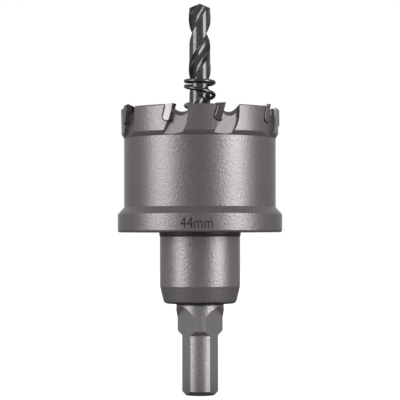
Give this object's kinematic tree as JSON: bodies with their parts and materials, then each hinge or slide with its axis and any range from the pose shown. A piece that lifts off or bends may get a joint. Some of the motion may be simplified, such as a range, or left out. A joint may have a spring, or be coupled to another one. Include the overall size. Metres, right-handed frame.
{
  "type": "hole saw",
  "caption": "Carbide tipped hole saw for metal: steel cup with a stop flange and slanted chip flutes, arbor with a three flat shank, twist pilot drill and ejector spring",
  "frame": {"origin": "centre of the shank's end face, at the bottom of the bounding box", "axes": "+Z along the axis of rotation from the shank's end to the pilot drill's tip, +X to the right seen from the front, the front looks towards -Y"},
  "size_m": [0.0456, 0.0456, 0.1088],
  "materials": {
    "blasted_steel": "satin, fine bead blasted",
    "carbide": "ground",
    "black_drill_steel": "black oxide, glossy",
    "dark_spring_steel": "dark oil tempered"
  },
  "bodies": {
    "root": {"cutter_cup": "blasted_steel", "arbor": "blasted_steel", "carbide_tip_1": "carbide", "carbide_tip_2": "carbide", "carbide_tip_3": "carbide", "carbide_tip_4": "carbide", "carbide_tip_5": "carbide", "carbide_tip_6": "carbide", "carbide_tip_7": "carbide", "carbide_tip_8": "carbide", "carbide_tip_9": "carbide", "pilot_drill": "black_drill_steel", "ejector_spring": "dark_spring_steel", "grub_screw": "dark_spring_steel"}
  },
  "joints": []
}
